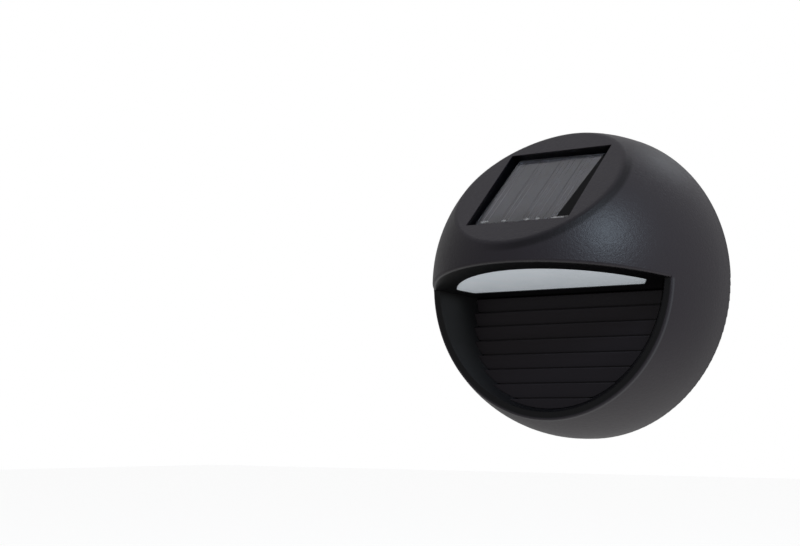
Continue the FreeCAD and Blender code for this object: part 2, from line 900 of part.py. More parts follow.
def spring_point(turn):
    # Flat half turns at both ends, a steady rise and taper between them.
    share = min(1.0, max(0.0, (turn - 0.5) / (spring_turns - 1.0)))
    rise = share * share * (3 - 2 * share)
    radius = spring_base_radius + (spring_tip_radius - spring_base_radius) * rise
    left = -bay_half_length + contact_thickness + spring_wire
    x = left + (spring_length - 2 * spring_wire) * rise
    angle = 2 * math.pi * turn
    return Vector(x, battery_y + radius * math.cos(angle), battery_height + radius * math.sin(angle))


def spring_tangent(turn):
    small = 1e-5
    return (spring_point(turn + small) - spring_point(turn - small)).normalize()


def biarc(start, start_direction, end, end_direction):
    across = end - start
    both = start_direction + end_direction
    bend = 2 * (1 - start_direction.dot(end_direction))
    run = across.dot(both)
    reach = (-run + math.sqrt(run * run + bend * across.dot(across))) / bend
    first = start + start_direction * reach
    second = end - end_direction * reach
    middle = (first + second) * 0.5
    return [arc(start, first, middle), arc(middle, second, end)]


def battery_spring():
    edges = []
    quarter = 0.25
    count = int(round(spring_turns / quarter))
    for index in range(count):
        low = index * quarter
        high = low + quarter
        edges += biarc(spring_point(low), spring_tangent(low),
                       spring_point(high), spring_tangent(high))
    return tube(Part.Wire(edges), spring_wire, spring_point(0), spring_tangent(0))


def battery_lead(side):
    x = side * (bay_half_length + bay_wall + contact_tab_reach / 2)
    start = Vector(x, contact_tab_y, battery_height + contact_thickness / 2)
    pad = on_board(side * battery_pad_reach, pad_row, 0)
    above = on_board(side * battery_pad_reach, pad_row, pad_approach)
    return lead([start, Vector(x, contact_tab_y, above.z), above, pad])


def keyhole(grow, y_range):
    y_low, y_high = y_range
    solids = []
    for side in (-1, 1):
        entry = Vector(side * keyhole_reach, y_low, keyhole_height)
        rise = Vector(0, 0, keyhole_rise)
        length = y_high - y_low
        radius = keyhole_entry_radius + grow
        solids.append(rod(radius, entry, y_axis, length))
        solids.append(rod(radius, entry + rise, y_axis, length))
        solids.append(box((entry.x - radius, entry.x + radius), y_range,
                          (keyhole_height, keyhole_height + keyhole_rise)))
    return solids


def keyhole_face():
    solids = []
    for side in (-1, 1):
        entry = Vector(side * keyhole_reach, -plate_thickness - cut_overrun, keyhole_height)
        rise = Vector(0, 0, keyhole_rise)
        solids.append(rod(keyhole_entry_radius, entry, y_axis, far))
        solids.append(rod(keyhole_slot_radius, entry + rise, y_axis, far))
        solids.append(box((entry.x - keyhole_slot_radius, entry.x + keyhole_slot_radius),
                          (entry.y, far), (keyhole_height, keyhole_height + keyhole_rise)))
    return solids


def back_plate():
    cup_y = -plate_thickness - keyhole_cup_depth
    bay_x = bay_half_length + bay_wall
    bay_z = bay_half_height + bay_wall
    ledge_x = door_half_length + door_ledge_margin
    ledge_z = door_half_width + door_ledge_margin
    plate = rod(rabbet_radius - plate_gap, Vector(0, -plate_thickness, 0), y_axis,
                plate_thickness)
    rim = [edge for edge in circle_edges(plate, rabbet_radius - plate_gap)
           if edge.BoundBox.YMin > -0.01]
    plate = plate.makeChamfer(plate_chamfer, rim)
    added = keyhole(keyhole_cup_wall,
                    (cup_y - keyhole_cup_wall, -plate_thickness + fuse_overlap))
    added.append(box((-bay_x, bay_x), (bay_bottom_y - bay_floor, -plate_thickness),
                     (battery_height - bay_z, battery_height + bay_z)))
    ledge_block = box((-ledge_x, ledge_x), (door_ledge_y - door_ledge_thickness, -plate_thickness),
                      (battery_height - ledge_z, battery_height + ledge_z))
    inside_ring = rod(ledge_radius - plate_gap, Vector(0, -far, 0), y_axis, far)
    added.append(ledge_block.common(inside_ring))
    added.append(switch_box(sliding_gap + switch_guard,
                            (-plate_thickness - switch_guard_depth, -plate_thickness)))
    for x, z in case_screw_centres():
        added.append(rod(screw_pad_radius, Vector(x, pad_y, z), y_axis, screw_pad_thickness))
    boss_y = door_ledge_y - door_ledge_thickness - door_boss_depth
    for side in (-1, 1):
        added.append(rod(door_boss_radius, Vector(side * door_screw_reach, boss_y, battery_height),
                         y_axis, door_boss_depth))
    cuts = keyhole(0, (cup_y, -plate_thickness)) + keyhole_face()
    cuts.append(box((-bay_half_length, bay_half_length), (bay_bottom_y, far),
                    (battery_height - bay_half_height, battery_height + bay_half_height)))
    door_space = rounded_plate(door_half_length + door_gap, door_half_width + door_gap,
                               door_corner + door_gap, far)
    cuts.append(placed(door_space, rear_frame(0, door_ledge_y, battery_height)))
    tab_y = contact_tab_width / 2 + sliding_gap
    tab_z = contact_thickness / 2 + sliding_gap
    cuts.append(box((-bay_x - cut_overrun, bay_x + cut_overrun),
                    (contact_tab_y - tab_y, contact_tab_y + tab_y),
                    (battery_height - tab_z, battery_height + tab_z)))
    cuts.append(switch_box(sliding_gap, (-far, -plate_thickness)))
    window_x = knob_half_length + switch_travel / 2 + knob_window_margins[0]
    window_z = knob_half_width + knob_window_margins[1]
    cuts.append(box((-window_x, window_x), (-far, far),
                    (switch_height - window_z, switch_height + window_z)))
    recess = rounded_plate(thumb_recess[0], thumb_recess[1], thumb_recess_corner, far)
    cuts.append(placed(recess, rear_frame(0, -thumb_recess[2], switch_height)))
    head_space = case_screw[0] + case_head_clearance
    for x, z in case_screw_centres():
        cuts.append(rod(head_space, Vector(x, case_screw_seat, z), y_axis, far))
        cuts.append(rod(case_screw[2] + touch_gap, Vector(x, -far, z), y_axis, far))
    pilot = door_screw[2] + touch_gap
    for side in (-1, 1):
        start = Vector(side * door_screw_reach, boss_y + door_boss_floor, battery_height)
        cuts.append(rod(pilot, start, y_axis, far))
    return single(plate.fuse(added).removeSplitter().cut(cuts))


def case_gasket():
    start = Vector(0, ledge_y, 0)
    ring = rod(rabbet_radius - gasket_gap, start, y_axis, gasket_thickness)
    return single(ring.cut(rod(ledge_radius + gasket_gap, start, y_axis, gasket_thickness)))


def case_screws():
    return [placed(screw(case_screw), rear_frame(x, case_screw_seat, z))
            for x, z in case_screw_centres()]


def battery_door():
    door = rounded_plate(door_half_length, door_half_width, door_corner, door_thickness)
    pads = []
    for side in (-1, 1):
        inner = side * (door_gasket_half_length + door_pad_gap)
        outer = side * (door_half_length - door_pad_inset)
        pad_half_width = door_half_width - door_pad_side_inset
        pads.append(box((min(inner, outer), max(inner, outer)),
                        (-pad_half_width, pad_half_width), (-door_gasket_thickness, 0)))
    door = door.fuse(pads)
    cuts = []
    for index in range(grip_rib_count + 1):
        y = (index - grip_rib_count / 2) * grip_rib_pitch
        half_x = grip_slot[0] / 2
        half_y = grip_slot[1] / 2
        cuts.append(box((-half_x, half_x), (y - half_y, y + half_y),
                        (door_thickness - grip_slot[2], far)))
    seat = door_thickness - door_screw[1]
    for side in (-1, 1):
        spot = Vector(side * door_screw_reach, 0, seat)
        cuts.append(rod(door_screw[0] + door_head_clearance, spot, z_axis, far))
        cuts.append(rod(door_screw[2] + touch_gap, spot - Vector(0, 0, far), z_axis, far))
    return single(placed(door.cut(cuts), rear_frame(0, door_back_y, battery_height)))


def door_gasket():
    half_x = door_gasket_half_length
    half_z = bay_half_height + door_gasket_inset + door_gasket_width
    ring = rounded_plate(half_x, half_z, door_gasket_corners[0], door_gasket_thickness)
    hole = rounded_plate(half_x - door_gasket_width, half_z - door_gasket_width,
                         door_gasket_corners[1], door_gasket_thickness)
    return single(placed(ring.cut(hole), rear_frame(0, door_ledge_y, battery_height)))


def door_screws():
    seat = door_front_y - door_screw[1]
    return [placed(screw(door_screw), rear_frame(side * door_screw_reach, seat, battery_height))
            for side in (-1, 1)]


def switch_box(grow, y_range):
    half_x = switch_half_length + grow
    half_z = switch_half_width + grow
    return box((-half_x, half_x), y_range, (switch_height - half_z, switch_height + half_z))


def switch_cover():
    top = -plate_thickness
    bottom = top - switch_depth
    cover = switch_box(0, (bottom, top)).cut(
        switch_box(-switch_shell, (bottom - cut_overrun, top - switch_shell)))
    slot_x = knob_half_length + switch_travel / 2 + knob_slot_margins[0]
    slot_z = knob_half_width + knob_slot_margins[1]
    slot = box((-slot_x, slot_x), (bottom, top + cut_overrun),
               (switch_height - slot_z, switch_height + slot_z))
    return single(cover.cut(slot))


def switch_base():
    bottom = -plate_thickness - switch_depth
    return switch_box(-switch_shell, (bottom, bottom + switch_base_thickness))


def switch_pins():
    bottom = -plate_thickness - switch_depth
    half_x = pin_size[0] / 2
    half_z = pin_size[1] / 2
    return [box((x - half_x, x + half_x), (bottom - pin_length, bottom),
                (switch_height - half_z, switch_height + half_z))
            for x in (-pin_pitch, 0, pin_pitch)]


def switch_knob():
    x = -switch_travel / 2
    top = -plate_thickness - switch_shell - slider_gap
    bottom = -plate_thickness - switch_depth + switch_base_thickness + slider_gap
    half_z = switch_half_width - switch_shell - slider_side_gap
    slider = box((x - slider_half_length, x + slider_half_length), (bottom, top),
                 (switch_height - half_z, switch_height + half_z))
    stem = box((x - knob_half_length, x + knob_half_length), (bottom, -knob_sink),
               (switch_height - knob_half_width, switch_height + knob_half_width))
    ends = [edge for edge in stem.Edges if edge.BoundBox.YMin > -knob_sink - touch_gap]
    stem = stem.makeChamfer(knob_chamfer, ends)
    return single(slider.fuse(stem).removeSplitter())


def switch_lead(side):
    x = side * pin_pitch
    start = Vector(x, -plate_thickness - switch_depth - pin_length, switch_height)
    pad = on_board(x, pad_row, 0)
    lift = (switch_height - pad.z) / math.cos(math.radians(ceiling_rise))
    return lead([start, on_board(x, pad_row, lift), pad])


def main():
    os.makedirs("parts", exist_ok=True)
    export("front_housing", [front_housing()])
    export("reflector_panel", [reflector_panel()])
    export("reflector_screws", reflector_screws())
    export("diffuser_lens", [diffuser_lens()])
    export("light_box", [light_box()])
    export("circuit_board", [circuit_board()])
    export("board_screws", board_screws())
    export("led_bodies", led_bodies())
    export("led_fills", led_fills())
    export("driver_chip", [driver_chip()])
    export("chip_legs", chip_legs())
    export("coil_core", [coil_core()])
    export("coil_winding", [coil_winding()])
    export("can_capacitor", [can_capacitor()])
    export("resistors", resistors())
    export("panel_base", [panel_base()])
    export("solar_cells", solar_cells())
    export("cell_ribbons", cell_ribbons())
    export("panel_cover", [panel_cover()])
    export("panel_seal", [panel_seal()])
    export("solar_lead_red", [solar_lead(1)])
    export("solar_lead_black", [solar_lead(-1)])
    export("battery_can", [battery_can()])
    export("battery_sleeve", [battery_sleeve()])
    export("positive_contact", [contact(1)])
    export("negative_contact", [contact(-1)])
    export("battery_spring", [battery_spring()])
    export("battery_lead_red", [battery_lead(1)])
    export("battery_lead_black", [battery_lead(-1)])
    export("back_plate", [back_plate()])
    export("case_gasket", [case_gasket()])
    export("case_screws", case_screws())
    export("battery_door", [battery_door()])
    export("door_gasket", [door_gasket()])
    export("door_screws", door_screws())
    export("switch_cover", [switch_cover()])
    export("switch_base", [switch_base()])
    export("switch_pins", switch_pins())
    export("switch_knob", [switch_knob()])
    export("switch_lead_feed", [switch_lead(1)])
    export("switch_lead_return", [switch_lead(-1)])


main()
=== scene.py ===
import math

import bmesh
import bpy
from mathutils import Matrix, Quaternion, Vector


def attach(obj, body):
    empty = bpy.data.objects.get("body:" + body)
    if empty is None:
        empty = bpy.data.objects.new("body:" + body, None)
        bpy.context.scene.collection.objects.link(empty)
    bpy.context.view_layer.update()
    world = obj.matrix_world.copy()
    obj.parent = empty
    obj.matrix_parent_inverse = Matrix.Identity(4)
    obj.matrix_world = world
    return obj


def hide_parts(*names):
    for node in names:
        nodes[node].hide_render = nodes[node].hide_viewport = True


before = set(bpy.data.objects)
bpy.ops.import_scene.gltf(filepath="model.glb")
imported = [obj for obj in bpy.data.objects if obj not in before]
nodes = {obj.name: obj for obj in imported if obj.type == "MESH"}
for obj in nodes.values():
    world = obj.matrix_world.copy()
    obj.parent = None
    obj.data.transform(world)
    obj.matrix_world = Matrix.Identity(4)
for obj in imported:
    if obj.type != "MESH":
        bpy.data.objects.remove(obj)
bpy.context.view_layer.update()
print("frame loaded,", len(nodes), "nodes")

mm = 0.001

# The main sizes of the case, read with the frame's own origin on the back face
case = dict(
    centre=Vector((0, -5.5, 0)) * mm,
    radius=57.5 * mm,
    facetTilt=math.radians(46.1),
    facetDistance=47.2 * mm,
    landY=-32.81 * mm,
    ceilingHeight=-6.72 * mm,
    ceilingRise=math.radians(10.54),
)


def span(first, last):
    # Two limits given in millimetres
    return first * mm, last * mm


class Wire:
    # An output socket, so that sums of wires read as sums
    def __init__(self, finish, socket):
        self.finish = finish
        self.socket = socket

    def calc(self, operation, first, second=0.0):
        return self.finish.node("ShaderNodeMath", dict(operation=operation), {0: first, 1: second})

    def __add__(self, other):
        return self.calc("ADD", self, other)

    def __radd__(self, other):
        return self.calc("ADD", other, self)

    def __sub__(self, other):
        return self.calc("SUBTRACT", self, other)

    def __rsub__(self, other):
        return self.calc("SUBTRACT", other, self)

    def __mul__(self, other):
        return self.calc("MULTIPLY", self, other)

    def __rmul__(self, other):
        return self.calc("MULTIPLY", other, self)

    def __truediv__(self, other):
        return self.calc("DIVIDE", self, other)

    def __abs__(self):
        return self.calc("ABSOLUTE", self)

    def root(self):
        return self.calc("SQRT", self)

    def least(self, other):
        return self.calc("MINIMUM", self, other)

    def most(self, other):
        return self.calc("MAXIMUM", self, other)

    def wrap(self, period):
        return self.calc("PINGPONG", self, period)

    def step(self, low, high):
        # 0 below low, 1 above high, smooth between; low may be the larger one
        settings = dict(interpolation_type="SMOOTHSTEP")
        links = {"Value": self, "From Min": low, "From Max": high}
        return self.finish.node("ShaderNodeMapRange", settings, links)


class Finish:
    # One material, or the world: its shader, and the nodes that feed it
    def __init__(self, name, owner=None, shader="Principled BSDF", **constants):
        self.material = owner or bpy.data.materials.new(name)
        self.material.use_nodes = True
        self.tree = self.material.node_tree
        self.shader = self.tree.nodes[shader]
        self.set(**constants)

    def set(self, **values):
        for key, value in values.items():
            self.plug(self.shader.inputs[key.replace("_", " ")], value)

    def plug(self, socket, value):
        if isinstance(value, Wire):
            self.tree.links.new(value.socket, socket)
        elif hasattr(socket.default_value, "__len__") and len(socket.default_value) == 4:
            socket.default_value = (*value[:3], 1.0)
        else:
            socket.default_value = value

    def node(self, kind, settings=None, inputs=None, output=0):
        made = self.tree.nodes.new(kind)
        for key, value in (settings or {}).items():
            setattr(made, key, value)
        for key, value in (inputs or {}).items():
            self.plug(made.inputs[key], value)
        return Wire(self, made.outputs[output])

    def place(self):
        return self.node("ShaderNodeTexCoord", output="Object")

    def axes(self):
        spread = self.node("ShaderNodeSeparateXYZ", inputs={0: self.place()})
        return [Wire(self, socket) for socket in spread.socket.node.outputs]

    def upSlope(self):
        # How far up the tilted flat a point lies, from the level of the dome's centre
        y, z = self.axes()[1:]
        tilt = case["facetTilt"]
        return (y - case["centre"].y) * math.sin(tilt) + z * math.cos(tilt)

    def stretched(self, scale):
        return self.node("ShaderNodeMapping", inputs={"Vector": self.place(), "Scale": scale})

    def noise(self, size, detail=3.0, rough=0.55, place=None):
        inputs = {"Vector": place or self.place(), "Scale": 1 / size, "Detail": detail,
                  "Roughness": rough}
        return self.node("ShaderNodeTexNoise", inputs=inputs)

    def cells(self, size):
        inputs = {"Vector": self.place(), "Scale": 1 / size}
        return self.node("ShaderNodeTexVoronoi", inputs=inputs)

    def mix(self, mask, first, second):
        inputs = {0: mask, 6: first, 7: second}
        return self.node("ShaderNodeMix", dict(data_type="RGBA"), inputs, 2)

    def bump(self, height, depth):
        return self.node("ShaderNodeBump", inputs={"Height": height, "Distance": depth})

    def cover(self, mask, **values):
        # A second shader, shown where the mask is 1
        under = Wire(self, self.shader.outputs[0])
        over = self.node("ShaderNodeBsdfPrincipled")
        self.shader = over.socket.node
        self.set(**values)
        both = self.node("ShaderNodeMixShader", inputs={0: mask, 1: under, 2: over})
        self.plug(self.tree.nodes["Material Output"].inputs["Surface"], both)


def plasticFinish(name, colour, rough=0.5, grain=0.35, depth=0.02, dust=0.12, **constants):
    # Moulded plastic: fine spark-eroded grain, cloudy gloss, faint dust in patches
    spec = dict(cloud=14 * mm, scuff=1.6 * mm, scuffEdge=(0.58, 0.75), scuffArea=(0.45, 0.7),
                paler=1.6, lift=0.012, cloudRough=0.08, scuffRough=0.08)
    made = Finish(name, **constants)
    grainNoise = made.noise(grain * mm, 2.0, 0.6)
    cloud = made.noise(spec["cloud"], 4.0, 0.6)
    scuff = made.noise(spec["scuff"], 5.0, 0.7).step(*spec["scuffEdge"])
    scuff = scuff * cloud.step(*spec["scuffArea"])
    pale = tuple(channel * spec["paler"] + spec["lift"] for channel in colour)
    made.set(
        Base_Color=made.mix(scuff * dust, colour, pale),
        Roughness=rough + (cloud - 0.5) * spec["cloudRough"] + scuff * spec["scuffRough"],
        Normal=made.bump(grainNoise, depth * mm),
    )
    return made.material


def metalFinish(name, colour, rough=0.3, brush=(1, 1, 1)):
    # Plated or bare metal: drawn or tumbled lines, dulled in patches
    spec = dict(lines=0.25 * mm, cloud=3.5 * mm, dullArea=(0.45, 0.75), darker=0.72, wear=0.3,
                lineRough=0.18, dullRough=0.1, relief=0.008 * mm)
    made = Finish(name, Metallic=1.0)
    lines = made.noise(spec["lines"], 4.0, 0.7, made.stretched(brush))
    dull = made.noise(spec["cloud"], 4.0, 0.6).step(*spec["dullArea"])
    darker = tuple(channel * spec["darker"] for channel in colour)
    made.set(
        Base_Color=made.mix(dull * spec["wear"], colour, darker),
        Roughness=rough + (lines - 0.5) * spec["lineRough"] + dull * spec["dullRough"],
        Normal=made.bump(lines, spec["relief"]),
    )
    return made.material


def rubberFinish(name, colour, rough=0.62, **constants):
    # Extruded rubber or wire insulation: soft, slightly streaked
    spec = dict(streak=0.6 * mm, drawn=(1, 1, 0.3), cloud=5 * mm, paleArea=(0.4, 0.7),
                paler=1.25, lift=0.01, patches=0.4, streakRough=0.2, relief=0.02 * mm)
    made = Finish(name, **constants)
    streak = made.noise(spec["streak"], 4.0, 0.6, made.stretched(spec["drawn"]))
    cloud = made.noise(spec["cloud"], 3.0)
    pale = tuple(channel * spec["paler"] + spec["lift"] for channel in colour)
    made.set(
        Base_Color=made.mix(cloud.step(*spec["paleArea"]) * spec["patches"], colour, pale),
        Roughness=rough + (streak - 0.5) * spec["streakRough"],
        Normal=made.bump(streak, spec["relief"]),
    )
    return made.material


def domeFinish():
    # Satin black shell: grained outside, smoother within, worn where hands and rain reach
    # with painted shade below the right of the flat's rim and a painted highlight behind the lip
    spec = dict(
        outside=(0.0294, 0.0233, 0.0303), inside=(0.0015, 0.0015, 0.003),
        scuffed=(0.05, 0.048, 0.05), shaded=(0.008, 0.0075, 0.008), paintedHighlight=(0.09, 0.092, 0.1),
        grain=1.2 * mm, fineGrain=0.45 * mm, grainDepth=0.15 * mm, innerGrain=0.04,
        coarseShare=0.6, cloud=22 * mm, scratch=0.9 * mm, scratchEdge=(0.5, 0.72),
        dust=2.4 * mm, dustEdge=(0.56, 0.8), dustArea=(0.4, 0.75), shadedDust=0.3,
        roughOutside=0.42, roughInside=0.34, roughShaded=0.5,
        cloudRough=0.07, speckRough=0.12, edgeRough=0.05,
        wall=span(57.2, 56.7), flatFall=span(-0.1, -0.6), archFall=span(0.4, -0.4),
        archAt=0.5 * mm, archWidth=span(1.6, 0.1), archSkin=span(55, 57),
        flatAt=0.8 * mm, flatWidth=span(1.8, 0.2), flatSkin=span(56, 57), flatWear=0.25,
        lipWidth=span(1.2, 0.1), lipSkin=span(56.6, 57.2),
        skin=span(56.2, 56.9), rimAt=1.0 * mm, rimWidth=span(1.3, 0.3), rimShade=0.6,
        rimSide=span(-14, 8), rimHeight=span(20, 4),
        lineAt=0.7 * mm, lineWidth=span(0.5, 0.1), highlightShare=0.5, wear=0.55, dusting=0.16,
    )
    made = Finish("satinBlackCase", Specular_IOR_Level=0.5)
    x, y, z = made.axes()
    depth = y - case["centre"].y
    ball = (x * x + depth * depth + z * z).root()
    rise = case["ceilingRise"]
    overCeiling = (z - case["ceilingHeight"]) * math.cos(rise) + depth * math.sin(rise)
    tilt = case["facetTilt"]
    overFacet = z * math.sin(tilt) - depth * math.cos(tilt) - case["facetDistance"]
    pastLand = y - case["landY"]
    inner = overFacet.step(*spec["flatFall"]) * ball.step(*spec["wall"])
    outside = 1 - inner
    below = overCeiling.step(*spec["archFall"])
    # edges that hands and rain reach: the arch, the rim of the flat, the lip of the well
    arch = abs(overCeiling - spec["archAt"]).step(*spec["archWidth"])
    arch = arch * ball.step(*spec["archSkin"])
    rim = abs(overFacet + spec["flatAt"]).step(*spec["flatWidth"]) * ball.step(*spec["flatSkin"])
    lip = abs(pastLand).step(*spec["lipWidth"]) * ball.step(*spec["lipSkin"]) * below
    scratch = made.noise(spec["scratch"], 6.0, 0.75).step(*spec["scratchEdge"])
    edges = arch.most(rim * spec["flatWear"]).most(lip) * scratch
    # painted shade: a dark band below the right of the flat's rim; painted highlight: a pale line
    # behind the lip
    skin = ball.step(*spec["skin"])
    rimShade = abs(overFacet + spec["rimAt"]).step(*spec["rimWidth"]) * skin
    rimShade = rimShade * x.step(*spec["rimSide"]) * made.upSlope().step(*spec["rimHeight"])
    # painted highlight: a pale line just behind the lip's edge
    lipHighlight = abs(pastLand - spec["lineAt"]).step(*spec["lineWidth"]) * skin * below
    cloud = made.noise(spec["cloud"], 4.0, 0.6)
    speck = made.noise(spec["grain"], 3.0, 0.65)
    fine = made.noise(spec["fineGrain"], 2.0, 0.5)
    dusty = made.noise(spec["dust"], 6.0, 0.7).step(*spec["dustEdge"])
    dusty = dusty * cloud.step(*spec["dustArea"])
    soiled = (edges * spec["wear"] + dusty * spec["dusting"] * outside).least(1.0)
    body = made.mix(inner, spec["outside"], spec["inside"])
    worn = made.mix(soiled, body, spec["scuffed"])
    gloss = spec["roughOutside"] * outside + spec["roughInside"] * inner
    cloudy = (cloud - 0.5) * spec["cloudRough"]
    grained = outside * (1 - spec["innerGrain"]) + spec["innerGrain"]
    grain = (speck * spec["coarseShare"] + fine * (1 - spec["coarseShare"])) * grained
    specked = (speck - 0.5) * outside * spec["speckRough"]
    relief = made.bump(grain, spec["grainDepth"])
    made.set(
        Base_Color=made.mix(lipHighlight * spec["highlightShare"], worn, spec["paintedHighlight"]),
        Roughness=gloss + cloudy + specked + edges * spec["edgeRough"],
        Normal=relief,
    )
    # painted shade: a dark, dull second shader over the band below the right of the flat's rim
    made.cover(
        rimShade * spec["rimShade"],
        Base_Color=made.mix(dusty * spec["shadedDust"], spec["shaded"], spec["outside"]),
        Roughness=spec["roughShaded"] + cloudy,
        Specular_IOR_Level=0.15,
        Normal=relief,
    )
    return made.material


def reflectorFinish():
    # Smooth moulded black, drawn along its steps, with a little dust
    spec = dict(colour=(0.018, 0.0142, 0.018), dusted=(0.03, 0.028, 0.028), rough=0.36,
                line=0.3 * mm, drawn=(0.15, 1, 1), cloud=9 * mm, cloudRough=0.1, lineRough=0.1,
                dust=1.2 * mm, dustEdge=(0.55, 0.8), dustArea=(0.35, 0.7), dusting=0.25,
                relief=0.006 * mm)
    made = Finish("blackReflector", Specular_IOR_Level=0.3)
    lines = made.noise(spec["line"], 3.0, 0.6, made.stretched(spec["drawn"]))
    cloud = made.noise(spec["cloud"], 4.0, 0.6)
    dusty = made.noise(spec["dust"], 6.0, 0.75).step(*spec["dustEdge"])
    dusty = dusty * cloud.step(*spec["dustArea"])
    uneven = (cloud - 0.5) * spec["cloudRough"] + (lines - 0.5) * spec["lineRough"]
    made.set(
        Base_Color=made.mix(dusty * spec["dusting"], spec["colour"], spec["dusted"]),
        Roughness=spec["rough"] + uneven,
        Normal=made.bump(lines, spec["relief"]),
    )
    return made.material


def diffuserFinish():
    # Frosted, with a faint painted glow, no lamp lit behind it, so that it looks evenly bright
    spec = dict(dim=(0.73, 0.76, 0.82), clear=(0.79, 0.82, 0.88), paintedGlow=(0.86, 0.95, 1.0),
                paintedGlowStrength=0.2, soak=(0.004, 0.004, 0.004), rough=0.42, frost=0.2 * mm,
                frostRough=0.16, cloud=12 * mm, clearArea=(0.3, 0.7), relief=0.01 * mm)
    # painted light: the emission makes the unlit diffuser glow faintly
    made = Finish("frostedDiffuser", Specular_IOR_Level=0.4, Subsurface_Weight=0.2,
                  Subsurface_Radius=spec["soak"], Subsurface_Scale=1.0,
                  Emission_Color=spec["paintedGlow"], Emission_Strength=spec["paintedGlowStrength"])
    frost = made.noise(spec["frost"], 3.0, 0.6)
    cloud = made.noise(spec["cloud"], 3.0)
    made.set(
        Base_Color=made.mix(cloud.step(*spec["clearArea"]), spec["dim"], spec["clear"]),
        Roughness=spec["rough"] + (frost - 0.5) * spec["frostRough"],
        Normal=made.bump(frost, spec["relief"]),
    )
    return made.material


def cellFinish():
    # Silicon under its blue-grey coating: faint finger lines, and painted shade darkening it
    # towards the panel's foot
    spec = dict(colour=(0.13, 0.124, 0.142), foot=(0.05, 0.047, 0.055), bright=(0.2, 0.19, 0.215),
                footFrom=span(-8, -17.5), pitch=1.1 * mm, width=0.07 * mm, fingers=0.4,
                patches=0.3, patchArea=(0.3, 0.7), cloud=7 * mm, crystal=2.2 * mm, rough=0.34,
                cloudRough=0.12, crystalRough=0.05, crystalMiddle=0.3, relief=0.004 * mm)
    made = Finish("siliconCells", Coat_Weight=0.4, Coat_Roughness=0.12, Specular_IOR_Level=0.6)
    slope = made.upSlope()
    finger = slope.wrap(spec["pitch"] / 2).step(spec["width"], 0.0)
    cloud = made.noise(spec["cloud"], 4.0, 0.6)
    crystal = made.cells(spec["crystal"])
    # painted shade: darker towards the foot of the panel, where the sheen falls off
    base = made.mix(slope.step(*spec["footFrom"]), spec["colour"], spec["foot"])
    patches = cloud.step(*spec["patchArea"]) * spec["patches"]
    patchy = made.mix(patches, base, spec["bright"])
    facets = (crystal - spec["crystalMiddle"]) * spec["crystalRough"]
    made.set(
        Base_Color=made.mix(finger * spec["fingers"], patchy, spec["bright"]),
        Roughness=spec["rough"] + (cloud - 0.5) * spec["cloudRough"] + facets,
        Normal=made.bump(crystal, spec["relief"]),
    )
    return made.material


def resinFinish():
    # Poured clear resin, barely hazed; next to the slanted last cell it carries a painted shadow
    # in matt black
    spec = dict(edge=15.9 * mm, lean=0.0827, edgeBlur=span(-0.1, 0.25), foot=-17.5 * mm,
                footBlur=span(-0.2, 0.2), black=(0.003, 0.003, 0.0035),
                rubbed=(0.02, 0.02, 0.022), dim=(0.93, 0.93, 0.94), clear=(0.98, 0.98, 0.98),
                rough=0.12, roughWedgeShadow=0.5, swell=11 * mm, swellRough=0.05,
                scratch=0.5 * mm, scratchDrawn=(1, 0.2, 0.2), scratchEdge=(0.66, 0.8),
                scratchRough=0.1, rubbing=0.2, relief=0.05 * mm)
    made = Finish("clearResin", Transmission_Weight=1.0, IOR=1.46, Specular_IOR_Level=0.85)
    x = made.axes()[0]
    turn = panel["turn"]
    upward = made.upSlope() - panel["rise"]
    across = x * math.cos(turn) + upward * math.sin(turn)
    along = upward * math.cos(turn) - x * math.sin(turn)
    # painted shadow: the wedge past the slanted edge of the last cell
    past = across - spec["edge"] - along * spec["lean"]
    wedgeShadow = past.step(*spec["edgeBlur"]) * (along - spec["foot"]).step(*spec["footBlur"])
    swell = made.noise(spec["swell"], 2.0)
    scratch = made.noise(spec["scratch"], 5.0, 0.8, made.stretched(spec["scratchDrawn"]))
    scratch = scratch.step(*spec["scratchEdge"])
    haze = scratch * spec["scratchRough"] + (swell - 0.5) * spec["swellRough"]
    relief = made.bump(swell, spec["relief"])
    made.set(
        Base_Color=made.mix(swell, spec["dim"], spec["clear"]),
        Roughness=spec["rough"] + haze,
        Normal=relief,
    )
    # painted shadow: a dark, dull shader over the wedge next to the slanted last cell
    made.cover(
        wedgeShadow,
        Base_Color=made.mix(scratch * spec["rubbing"], spec["black"], spec["rubbed"]),
        Roughness=spec["roughWedgeShadow"] + haze,
        Specular_IOR_Level=0.08,
        Normal=relief,
    )
    return made.material


def busFinish():
    # Tinned wire: dull along the cell, bright where the solder has flowed at its foot
    spec = dict(wire=(0.5, 0.5, 0.54), solder=(0.9, 0.91, 0.94), footFrom=span(-15.2, -15.9),
                rough=0.44, smoother=0.16, lumps=0.6 * mm, lumpRough=0.16, relief=0.03 * mm)
    made = Finish("brightSolder", Metallic=1.0)
    bright = made.upSlope().step(*spec["footFrom"])
    lumps = made.noise(spec["lumps"], 3.0, 0.6)
    made.set(
        Base_Color=made.mix(bright, spec["wire"], spec["solder"]),
        Roughness=spec["rough"] - bright * spec["smoother"] + (lumps - 0.5) * spec["lumpRough"],
        Normal=made.bump(lumps, spec["relief"]),
    )
    return made.material


